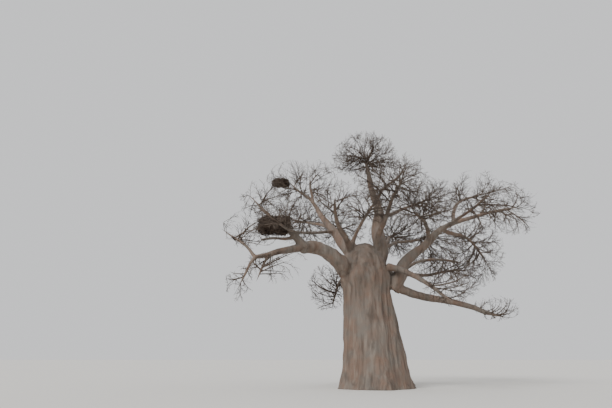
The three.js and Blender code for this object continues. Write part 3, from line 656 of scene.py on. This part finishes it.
# the rule that the solids grow by
growth = {
    "stemShares": [0.22, 0.34, 0.46, 0.57, 0.68, 0.78, 0.87], "sideShares": [0.24, 0.38, 0.64, 0.78],
    "distance": 0.9, "straightness": 0.6, "crowding": 0.5,  # what a place to spring from is judged by
    "edge": 1.02, "ownership": 1.12, "nestRoom": 1.15, "clearance": 0.08, "shortest": 0.22,
    "trunkRoom": 1.1,  # how near to the trunk twigs come, as a share of its shoulder's radius
    "overTrunk": 0.3,  # height above the trunk's top from which they are free of it
    "limbsWithin": 0.5,  # how far past a mass's space its twigs look out for limbs
    "margin": 0.05,  # how far ends stay from a floor or ceiling, as a share of the half height
    "tries": [1, 0.8, 0.6, 0.42], "probes": [0.25, 0.4, 0.55, 0.7, 0.85, 1],
    "bend": {"at": 0.55, "onward": 0.13, "hang": 0.1},
    "side": {"out": 0.85, "onward": 0.75, "lift": 0.25, "longest": 0.85, "shrink": 0.5, "spread": 0.4},
    "branchlet": {
        "depth": 0.9, "vary": 0.08, "thinner": 0.75, "thickest": 0.045, "middle": 0.85, "tip": 0.008},
    "sideGirth": 0.4,
}
# the finer twigs that only this script makes
finer = {
    "ownership": 1.03, "clearance": 0.03, "shortest": 0.1, "trunkRoom": 1.0, "straightness": 1.0,
    "crowding": 0.25, "bend": {"at": 0.5, "onward": 0.08, "hang": 0.07},
    "springing": np.linspace(0.15, 1, 7),  # shares of a line from which others spring
    "spare": 0.3,  # how far twigs may pass the solids' box
    "layer": 0.6,  # depth of the flat layer of twigs over a mass's floor
}
# Each order of twigs. count is for each metre of the mass's mean half size for branchlets, and for each cubic
# metre for branches and twigs. They end between two depths of its space, within reach of where they spring.
branchletRule = {
    "count": 9.0, "depth": (0.6, 0.97), "reach": 9.0, "bend": growth["bend"],
    "thinner": 0.45, "girth": (0.013, 0.032), "middle": 0.7, "tip": 0.006, "rings": 7,
}
branchRule = {
    "count": 5.0, "depth": (0.3, 1.0), "reach": 1.9, "bend": finer["bend"],
    "thinner": 0.7, "girth": (0.011, 0.021), "middle": 0.75, "tip": 0.005, "rings": 5,
}
limbBranchRule = {  # from the boughs themselves, for each metre that they run through a mass's space
    "perMetre": 6.0, "length": (0.6, 1.5), "lift": 0.8, "onward": 0.375, "sunk": 0.8, "thinner": 0.3,
}
twigRule = {
    "count": 19.0, "depth": (0.2, 1.02), "reach": 0.9, "bend": finer["bend"],
    "shares": [0.2, 0.35, 0.5, 0.65, 0.8, 0.92], "length": 0.6,  # those along the sides of branches
    "thinner": 0.8, "girth": (0.008, 0.012), "middle": 0.8, "tip": 0,
}
shootRule = {
    "shares": [0.3, 0.55, 0.8], "length": 0.65, "bend": finer["bend"],
    "thinner": 0.8, "girth": (0.006, 0.01), "middle": 1, "tip": 0,
}
# how much fuller or thinner than the rest a mass is
fullness = {
    "back_middle": 1.7, "back_rightward": 1.7, "crown_top": 1.8, "front_leftward": 0.35,
    "front_middle": 1.1, "hanging_left": 2.3, "left_behind": 1.4, "left_crown": 0.45,
    "left_curtain": 0.4, "left_end": 0.45, "left_fan": 0.5, "left_front": 0.85, "left_summit": 0.6,
    "low_curtain": 0.8, "low_end": 1.8, "middle_left": 1.5, "right_behind": 0.9, "right_end": 0.55,
    "right_forward": 0.8, "right_front_end": 0.45, "right_inner": 0.8, "right_summit": 0.42,
    "right_weeping": 1.5, "upper_right": 0.2,
}
goldenAngle = math.pi * (3 - math.sqrt(5))
reachLow = np.array(cadBox[0]) - finer["spare"]
reachHigh = np.array(cadBox[1]) + finer["spare"]


def seededRandom(seed):
    # the same run of numbers between 0 and 1 as the solids draw
    state = seed * 7919
    while True:
        state = state * 16807 % 2147483647
        yield state / 2147483647


def depthIn(space, points):
    # how far out points lie in a space: 1 is its edge
    offset = (points - np.array(space["centre"])) / np.array(space["half"])
    outside = (offset[:, 2] < space.get("floor", -2)) | (offset[:, 2] > space.get("ceiling", 2))
    return np.where(outside, 9, np.linalg.norm(offset, axis=1))


def inOwnSpace(name, points, ownership):
    depth = depthIn(masses[name], points)
    inside = (depth < growth["edge"]) & ((points > reachLow) & (points < reachHigh)).all(axis=1)
    for other in masses:
        if other != name:
            inside &= depthIn(masses[other], points) > depth * ownership
    for nest in nests.values():
        inside &= depthIn(nest, points) > growth["nestRoom"]
    return inside


def limbsNear(name):
    # points, radii and headings along the boughs that pass through or by a mass's space
    centre, reach = np.array(masses[name]["centre"]), max(masses[name]["half"]) + growth["limbsWithin"]
    points, radii, headings = [], [], []
    for path in paths.values():
        line, girth = path["line"][:path["split"] + 1], path["radii"][:path["split"] + 1]
        close = np.linalg.norm(line - centre, axis=1) < reach
        points.extend(line[close])
        radii.extend(girth[close])
        headings.extend(unit(np.gradient(line, axis=0))[close])
    return np.array(points).reshape(-1, 3), np.array(radii), np.array(headings).reshape(-1, 3)


def clearOfLimbs(limbs, points, rule):
    room = trunk["shoulder"] * rule["trunkRoom"] + rule["clearance"]
    clear = (points[:, 2] > trunk["top"] + growth["overTrunk"]) | (fromTrunkAxis(points) > room)
    if len(limbs[0]):
        distance = np.linalg.norm(points[:, None] - limbs[0][None], axis=2) - limbs[1]
        clear &= distance.min(axis=1) > rule["clearance"]
    return clear


def clearLines(name, limbs, roots, headings, ends, rule, bend):
    # bent lines from roots to ends, shortened until they are clear, with the numbers of those that are
    lines = np.zeros((len(roots), 3, 3))
    kept = np.zeros(len(roots), bool)
    for share in growth["tries"]:
        to = roots + (ends - roots) * share
        length = np.linalg.norm(to - roots, axis=1)[:, None]
        middle = roots + (to - roots) * bend["at"] + headings * bend["onward"] * length
        middle[:, 2] -= bend["hang"] * length[:, 0] * masses[name]["lift"]
        candidates = np.stack([roots, middle, to], axis=1)
        good = ~kept & (length[:, 0] > rule["shortest"])
        for probe in growth["probes"]:
            points = placesOn(candidates, np.zeros((len(roots), 3)), probe)[0]
            good &= inOwnSpace(name, points, rule["ownership"]) & clearOfLimbs(limbs, points, rule)
        lines[good] = candidates[good]
        kept |= good
    return lines[kept], np.flatnonzero(kept)


def curved(lines, radii, steps):
    # smooth lines through three points each
    a, b, c = lines[:, 0, None], lines[:, 1, None], lines[:, 2, None]
    t = np.linspace(0, 1, steps)[None, :, None]
    control = 2 * b - 0.5 * (a + c)
    fine = (1 - t) ** 2 * a + 2 * t * (1 - t) * control + t ** 2 * c
    stations = np.linspace(0, 1, radii.shape[1])
    return fine, np.array([np.interp(t[0, :, 0], stations, row) for row in radii])


def evenDirections(count, draw):
    # count directions spread evenly all round
    i = np.arange(count)
    height = 1 - (2 * i + 1) / count
    turn = i * goldenAngle + draw
    flat = np.sqrt(1 - height ** 2)
    return np.column_stack([flat * np.cos(turn), flat * np.sin(turn), height])


def endsWithin(mass, directions, depths):
    ends = directions * np.reshape(depths, (-1, 1))
    margin = growth["margin"]
    ends[:, 2] = np.clip(ends[:, 2], mass.get("floor", -1) + margin, mass.get("ceiling", 1) - margin)
    return ends * np.array(mass["half"]) + np.array(mass["centre"])


def bestPlace(points, headings, used, end, rule):
    # close by, turning little from the heading of what bears it, and not much used yet
    away = end - points
    length = np.linalg.norm(away, axis=1)
    turn = (away * headings).sum(axis=1) / np.maximum(length, 1e-6)
    cost = length * (growth["distance"] + rule["straightness"] * (1 - turn)) + rule["crowding"] * used
    best = np.argmin(cost)
    used[best] += 1
    return best


def sideEnds(lines, radii, shares, draws, lift):
    # where side twigs spring and end: to alternate sides, shorter towards the end of what bears them
    side = growth["side"]
    length = np.linalg.norm(lines[:, -1] - lines[:, 0], axis=1)
    roots, headings, ends, girths = [], [], [], []
    for k, share in enumerate(shares):
        root, heading, girth = placesOn(lines, radii, share)
        out = unit(np.cross(heading, draws[:, k, :3] - 0.5)) * (side["out"] if k % 2 else -side["out"])
        onward = heading * side["onward"] + out
        onward[:, 2] += side["lift"] * lift
        vary = 1 + side["spread"] * (draws[:, k, 3] - 0.5)
        reach = length * (side["longest"] - side["shrink"] * share) * vary
        roots.append(root)
        headings.append(heading)
        ends.append(root + unit(onward) * reach[:, None])
        girths.append(girth)
    bearer = np.tile(np.arange(len(lines)), len(shares))
    return np.vstack(roots), np.vstack(headings), np.vstack(ends), np.concatenate(girths), bearer


def grownTowards(name, limbs, bearers, ends, rule):
    # new lines that spring from the bearing ones at the best place for each end
    lines, radii, tints = bearers
    points, headings, girths = placesAlong(lines, radii, finer["springing"])
    used = np.zeros(len(points))
    chosen = [bestPlace(points, headings, used, end, finer) for end in ends]
    away = ends - points[chosen]
    length = np.linalg.norm(away, axis=1, keepdims=True)
    ends = points[chosen] + away * np.minimum(1, rule["reach"] / np.maximum(length, 1e-6))
    grown, kept = clearLines(name, limbs, points[chosen], headings[chosen], ends, finer, rule["bend"])
    source = np.array(chosen)[kept]
    return grown, girths[source], np.tile(tints, len(finer["springing"]))[source]


def tubes(lines, radii, sides):
    # corners and triangles of closed tubes along many lines at once; a last radius of 0 gives pointed ends
    count, rings = radii.shape
    tangents = unit(np.gradient(lines, axis=1))
    across = [unit(np.cross([0.31, 0.87, 0.39], tangents[:, 0]))]  # from a heading that no line has
    for i in range(1, rings):
        along = (across[-1] * tangents[:, i]).sum(axis=1, keepdims=True)
        across.append(unit(across[-1] - along * tangents[:, i]))
    across = np.stack(across, axis=1)
    third = np.cross(across, tangents)
    turn = np.arange(sides) * 2 * math.pi / sides
    spokes = (np.cos(turn)[:, None] * across[:, :, None] + np.sin(turn)[:, None] * third[:, :, None])
    corners = lines[:, :, None] + spokes * radii[:, :, None, None]
    pointed = not radii[:, -1].any()
    full = rings - 1 if pointed else rings
    corners = corners[:, :full].reshape(count, -1, 3)
    faces = []
    for ring in range(full - 1):
        for k in range(sides):
            a, b = ring * sides + k, ring * sides + (k + 1) % sides
            faces += [(a, b, b + sides), (a, b + sides, a + sides)]
    faces += [(0, k + 1, k) for k in range(1, sides - 1)]
    last = (full - 1) * sides
    if pointed:
        corners = np.concatenate([corners, lines[:, -1:]], axis=1)
        faces += [(last + k, last + (k + 1) % sides, last + sides) for k in range(sides)]
    else:
        faces += [(last, last + k, last + k + 1) for k in range(1, sides - 1)]
    offsets = np.arange(count)[:, None, None] * corners.shape[1]
    return corners.reshape(-1, 3), (np.array(faces)[None] + offsets).reshape(-1, 3), len(faces)


def joined(name, parts, materials):
    # one mesh from (lines, radii, tint of each line, sides)
    corners, faces, tints, first = [], [], [], 0
    for lines, radii, tint, sides in parts:
        points, triangles, each = tubes(lines, radii, sides)
        corners.append(points)
        faces.append(triangles + first)
        tints.append(np.repeat(tint, each))
        first += len(points)
    corners, faces, tints = np.vstack(corners), np.vstack(faces), np.concatenate(tints)
    mesh = bpy.data.meshes.new(name)
    mesh.vertices.add(len(corners))
    mesh.vertices.foreach_set("co", corners.ravel())
    mesh.loops.add(faces.size)
    mesh.loops.foreach_set("vertex_index", faces.ravel())
    mesh.polygons.add(len(faces))
    mesh.polygons.foreach_set("loop_start", np.arange(0, faces.size, 3))
    mesh.polygons.foreach_set("material_index", tints)
    mesh.update(calc_edges=True)
    for material in materials:
        mesh.materials.append(material)
    piece = bpy.data.objects.new(name, mesh)
    bpy.context.collection.objects.link(piece)
    return piece


def tapered(girths, rule):
    # radii at root, middle and end
    root = np.clip(girths, *rule["girth"])
    return np.column_stack([root, root * rule["middle"], np.full(len(root), rule["tip"])])


def stemOf(name):
    path = paths[masses[name]["on"]]
    return path["line"][path["split"]:], path["radii"][path["split"]:]


def solidBranchlets(name, limbs):
    # the branchlets that the solids have, with the side twigs of each, from the same seeded numbers
    mass, rule = masses[name], growth["branchlet"]
    draw = seededRandom(mass["seed"])
    stem, stemRadii = stemOf(name)
    points, headings, girths = placesAlong(stem[None], stemRadii[None], growth["stemShares"])
    used = np.zeros(len(points))
    branchlets, branchletRadii, sides, sideGirths = [], [], [], []
    for i in range(mass["branchlets"]):
        direction = evenDirections(mass["branchlets"], next(draw))[i:i + 1]
        end = endsWithin(mass, direction, rule["depth"] + rule["vary"] * next(draw))
        best = bestPlace(points, headings, used, end[0], growth)
        line, kept = clearLines(
            name, limbs, points[best:best + 1], headings[best:best + 1], end, growth, growth["bend"])
        if not len(kept):
            used[best] -= 1
            continue
        root = min(girths[best] * rule["thinner"], rule["thickest"])
        radii = np.array([[root, root * rule["middle"], rule["tip"]]])
        branchlets.append(line)
        branchletRadii.append(radii)
        draws = np.array([next(draw) for _ in range(4 * len(growth["sideShares"]))]).reshape(1, -1, 4)
        roots, toward, ends, thick, _ = sideEnds(line, radii, growth["sideShares"], draws, mass["lift"])
        twigs, kept = clearLines(name, limbs, roots, toward, ends, growth, growth["bend"])
        sides.append(twigs)
        sideGirths.append(thick[kept] * growth["sideGirth"])
    return (np.concatenate(rows) for rows in (branchlets, branchletRadii, sides, sideGirths))


def spread(name, count, depths, rng):
    # ends spread evenly through a mass's space between two depths
    low, high = depths
    depth = rng.uniform(low ** 3, high ** 3, count) ** (1 / 3)
    mass = masses[name]
    ends = endsWithin(mass, evenDirections(count, rng.random()), depth)
    if "floor" in mass:
        lowest = mass["centre"][2] + mass["floor"] * mass["half"][2]
        ends[:, 2] = np.maximum(ends[:, 2], lowest + rng.uniform(0, finer["layer"], count))
    return ends


def alongSides(name, limbs, bearers, rule, rng):
    # finer lines to alternate sides of the bearing ones, with the radius and tint of what bears each
    lines, radii, tints = bearers
    draws = rng.random((len(lines), len(rule["shares"]), 4))
    roots, toward, ends, thick, bearer = sideEnds(lines, radii, rule["shares"], draws, masses[name]["lift"])
    ends = roots + (ends - roots) * rule["length"]
    grown, kept = clearLines(name, limbs, roots, toward, ends, finer, rule["bend"])
    return grown, thick[kept], tints[bearer[kept]]


def fromLimbs(name, limbs, rng):
    # branches that spring from the boughs themselves where these pass through the mass's space
    points, radii, headings = limbs
    rule = limbBranchRule
    chance = rule["perMetre"] * fullness.get(name, 1) * limbRule["step"] / limbRule["perStep"]
    chosen = inOwnSpace(name, points, finer["ownership"]) & (rng.random(len(points)) < chance)
    points, radii, headings = points[chosen], radii[chosen], headings[chosen]
    out = unit(np.cross(headings, rng.normal(size=headings.shape)))
    out[:, 2] += rule["lift"] * masses[name]["lift"]
    length = rng.uniform(*rule["length"], (len(points), 1))
    roots = points + unit(out) * (radii * rule["sunk"])[:, None]
    ends = roots + unit(out + headings * rule["onward"]) * length
    grown, kept = clearLines(name, limbs, roots, headings, ends, finer, finer["bend"])
    return grown, radii[kept] * rule["thinner"]


def volumeOf(name):
    return 4 / 3 * math.pi * np.prod(masses[name]["half"]) * fullness.get(name, 1)


def sprays(lines, rng):
    # which of the twig colours each line and all that it bears has
    return rng.integers(1, len(twigBarks) + 1, len(lines))


def growBranchlets(name, limbs, rng):
    # the solids' branchlets and more between them, then the side twigs that the solids have
    lines, radii, sides, sideGirths = solidBranchlets(name, limbs)
    stem, stemRadii = stemOf(name)
    count = branchletRule["count"] * np.mean(masses[name]["half"]) * fullness.get(name, 1)
    ends = spread(name, round(count), branchletRule["depth"], rng)
    bearers = stem[None, :-2], stemRadii[None, :-2], [0]
    more, girths, _ = grownTowards(name, limbs, bearers, ends, branchletRule)
    lines = np.concatenate([lines, more])
    radii = np.concatenate([radii, tapered(girths * branchletRule["thinner"], branchletRule)])
    lines, radii = curved(lines, radii, branchletRule["rings"])
    return (lines, radii, sprays(lines, rng)), sides, sideGirths


def growBranches(name, limbs, branchlets, sides, sideGirths, rng):
    ends = spread(name, round(branchRule["count"] * volumeOf(name)), branchRule["depth"], rng)
    lines, girths, _ = grownTowards(name, limbs, branchlets, ends, branchRule)
    limbBranches, limbGirths = fromLimbs(name, limbs, rng)
    lines = np.concatenate([sides, lines, limbBranches])
    girths = np.concatenate([sideGirths, girths * branchRule["thinner"], limbGirths])
    lines, radii = curved(lines, tapered(girths, branchRule), branchRule["rings"])
    return lines, radii, sprays(lines, rng)


def growTwigs(name, limbs, branches, rng):
    # along the sides of the branches, and towards what is still open of the mass's space
    ends = spread(name, round(twigRule["count"] * volumeOf(name)), twigRule["depth"], rng)
    strays, strayGirths, strayTints = grownTowards(name, limbs, branches, ends, twigRule)
    lines, girths, tints = alongSides(name, limbs, branches, twigRule, rng)
    radii = tapered(np.concatenate([girths, strayGirths]) * twigRule["thinner"], twigRule)
    return np.concatenate([lines, strays]), radii, np.concatenate([tints, strayTints])


def growShoots(name, limbs, twigs, rng):
    # straight, so they need only their first and last points
    lines, girths, tints = alongSides(name, limbs, twigs, shootRule, rng)
    return lines[:, ::2], tapered(girths * shootRule["thinner"], shootRule)[:, ::2], tints


def growMass(name):
    limbs = limbsNear(name)
    rng = np.random.default_rng(masses[name]["seed"])
    branchlets, sides, sideGirths = growBranchlets(name, limbs, rng)
    branches = growBranches(name, limbs, branchlets, sides, sideGirths, rng)
    twigs = growTwigs(name, limbs, branches, rng)
    shoots = growShoots(name, limbs, twigs, rng)
    path = paths[masses[name]["on"]]
    first = path["split"] - limbRule["sunk"]
    stem = path["line"][None, first:], path["radii"][None, first:], [0]
    return joined(name + "_twigs", [
        (*stem, 9), (*branchlets, 5), (*branches, 4), (*twigs, 3), (*shoots, 3)], [bark] + twigBarks)


def finelyGrained(name, look, colour):
    # one plain matt colour with a fine grain
    material = newMaterial(name)
    place = addNode(material, "ShaderNodeTexCoord").outputs["Object"]
    grain = addNode(material, "ShaderNodeTexNoise", {
        "Vector": place, "Scale": 1000 / look["grain"], "Detail": 2.0})
    bump = addNode(material, "ShaderNodeBump", {
        "Height": grain.outputs["Fac"], "Strength": 0.4, "Distance": look["grainDepth"]})
    return finishMaterial(material, addNode(material, "ShaderNodeBsdfPrincipled", {
        "Base Color": linearColour(colour), "Roughness": look["roughness"], "IOR": look["ior"],
        "Normal": bump.outputs["Normal"]}))


# Young baobab bark on twigs: smooth, matt, from grey-brown to darker brown, one plain colour to a spray.
twigLook = {
    "colours": ["#564a41", "#493e36", "#62564c"], "roughness": 0.85, "ior": 1.45,
    "grain": 12, "grainDepth": 0.002,  # grain in millimetres, its depth in metres
}

twigBarks = [
    finelyGrained("twigBark" + str(i), twigLook, colour) for i, colour in enumerate(twigLook["colours"], 1)]
triangles = 0
for name in masses:
    piece = growMass(name)
    triangles += len(piece.data.polygons)
    print(name, len(piece.data.polygons))
    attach(piece, "root")
    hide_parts(name)
print("twigs grown:", triangles, "faces")


# Stick nests: dry sticks, weathered grey-brown and matt, heaped round a solid core that fills the packed
# middle, in the darkest stick colour as painted shade for the heap's depths.
nestLook = {
    "colours": ["#4e4037", "#5d4f44", "#3c3029"], "roughness": 0.9, "ior": 1.45,
    "grain": 11, "grainDepth": 0.003,
    "core": 0.68, "lumps": 0.34, "lumpsPerHalf": 2.0, "squareness": 0.68,
    "depth": (0.72, 1.0),  # where sticks lie, as shares of the nest's half size
    "stickLength": (0.3, 0.9), "stickGirth": (0.008, 0.019), "stickTip": 0.6, "bow": 0.08,
    "stray": 0.5, "flatness": 0.6,
}

nestSticks = [
    finelyGrained("drySticks" + str(i), nestLook, colour) for i, colour in enumerate(nestLook["colours"], 1)]


def squared(directions):
    return np.sign(directions) * np.abs(directions) ** nestLook["squareness"]


def lumpsOf(nest, directions):
    # how far the heap bulges in each direction
    start = Vector((nest["seed"], 0, 0))
    bumps = [noise.noise(Vector(p) * nestLook["lumpsPerHalf"] + start) for p in directions]
    return 1 + nestLook["lumps"] * np.array(bumps)[:, None]


def nestCore(name):
    nest = nests[name]
    deselect()
    bpy.ops.mesh.primitive_ico_sphere_add(subdivisions=5, radius=1)
    core = bpy.context.object
    points = verticesOf(core)
    reach = lumpsOf(nest, points) * nestLook["core"] * nest["half"]
    setVertices(core, squared(points) * reach + nest["centre"])
    return core


def makeNest(name):
    nest = nests[name]
    rng = np.random.default_rng(nest["seed"])
    count = nest["sticks"]
    out = evenDirections(count, rng.random())
    depth = rng.uniform(*nestLook["depth"], (count, 1)) * lumpsOf(nest, out)
    middle = squared(out) * depth * nest["half"] + nest["centre"]
    along = unit(np.cross(out, rng.normal(size=(count, 3))) + nestLook["stray"] * rng.normal(size=(count, 3)))
    along[:, 2] *= nestLook["flatness"]
    reach = along * rng.uniform(*nestLook["stickLength"], (count, 1)) * max(nest["half"]) / 2
    bow = nestLook["bow"] * out * max(nest["half"])
    lines = np.stack([middle - reach, middle + bow, middle + reach], axis=1)
    girth = rng.uniform(*nestLook["stickGirth"], count)
    radii = np.column_stack([girth, girth, girth * nestLook["stickTip"]])
    core = nestCore(name)
    # the core takes the darkest stick colour as painted shade deep inside the heap
    core.data.materials.append(nestSticks[-1])
    tints = rng.integers(0, len(nestSticks), count)
    heap = joined(name + "_heap", [(lines, radii, tints, 3)], nestSticks)
    return joinInto(heap, [core])


for name in nests:
    piece = makeNest(name)
    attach(piece, "root")
    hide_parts(name)
    print(name, len(piece.data.polygons))
